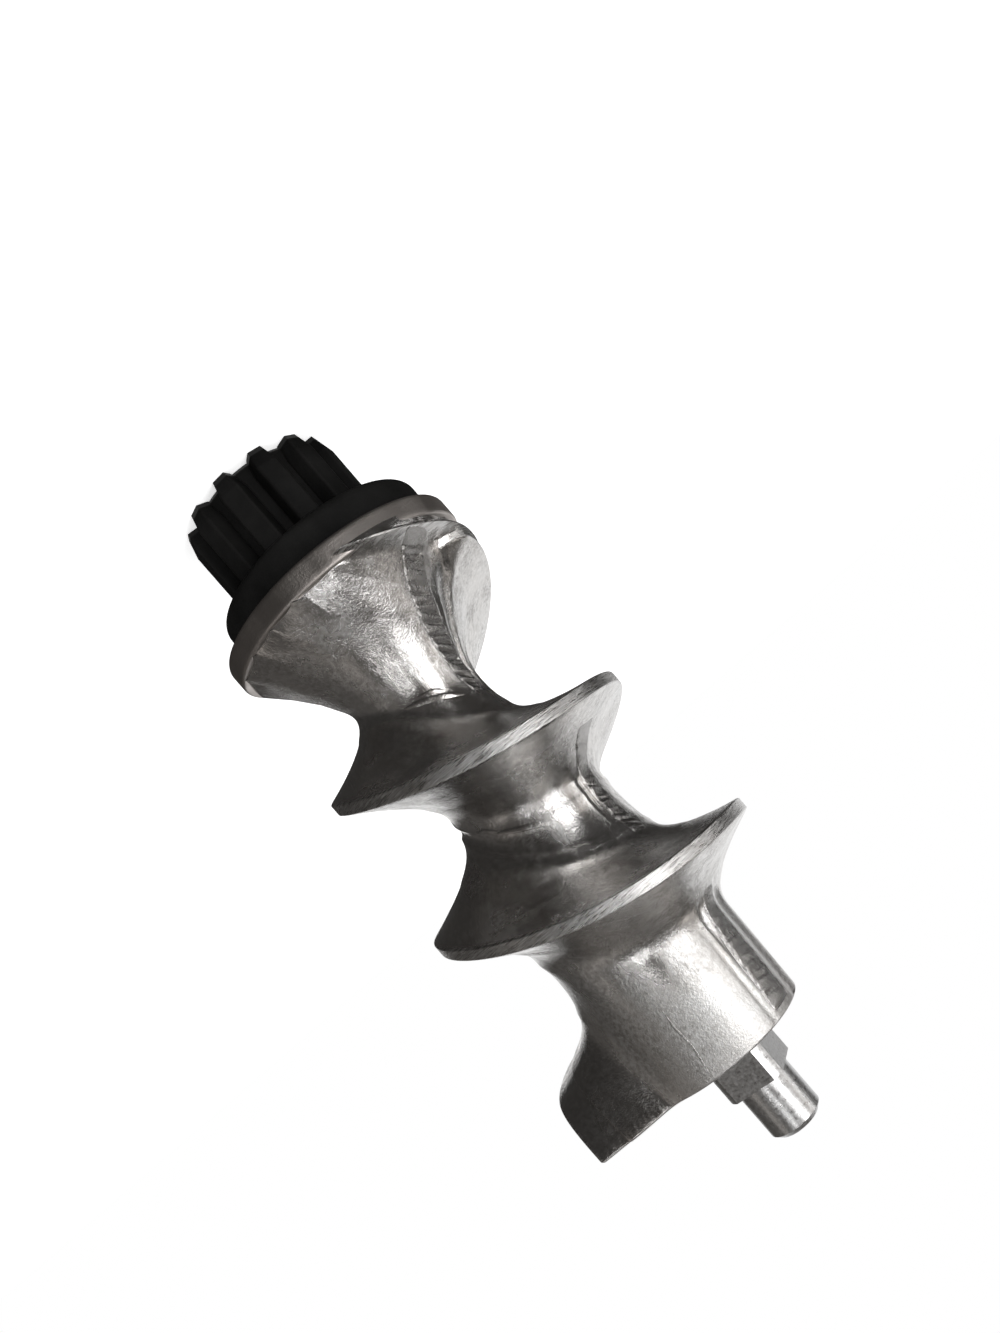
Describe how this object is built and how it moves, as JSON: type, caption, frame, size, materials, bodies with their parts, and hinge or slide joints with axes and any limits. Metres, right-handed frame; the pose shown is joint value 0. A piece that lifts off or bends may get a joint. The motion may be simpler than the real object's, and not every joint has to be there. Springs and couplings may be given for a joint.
{
  "type": "meat grinder auger",
  "caption": "Cast feed screw of a kitchen meat grinder: tapered left-hand flight on a growing core, black splined drive coupling at one end, square knife seat and round journal pin at the other",
  "frame": {"origin": "centre of the free end face of the coupling, on the screw's axis; the screw stands on this face", "axes": "+Z along the screw's axis from the coupling to the pin; -Y is the side that the picture looks at; +X completes a right-handed frame"},
  "size_m": [0.0444, 0.0438, 0.1077],
  "materials": {
    "cast_body": "polished casting",
    "coupling": "matte moulded",
    "spindle": "turned"
  },
  "bodies": {
    "root": {"screw_body": "cast_body", "drive_coupling": "coupling", "knife_spindle": "spindle"}
  },
  "joints": []
}
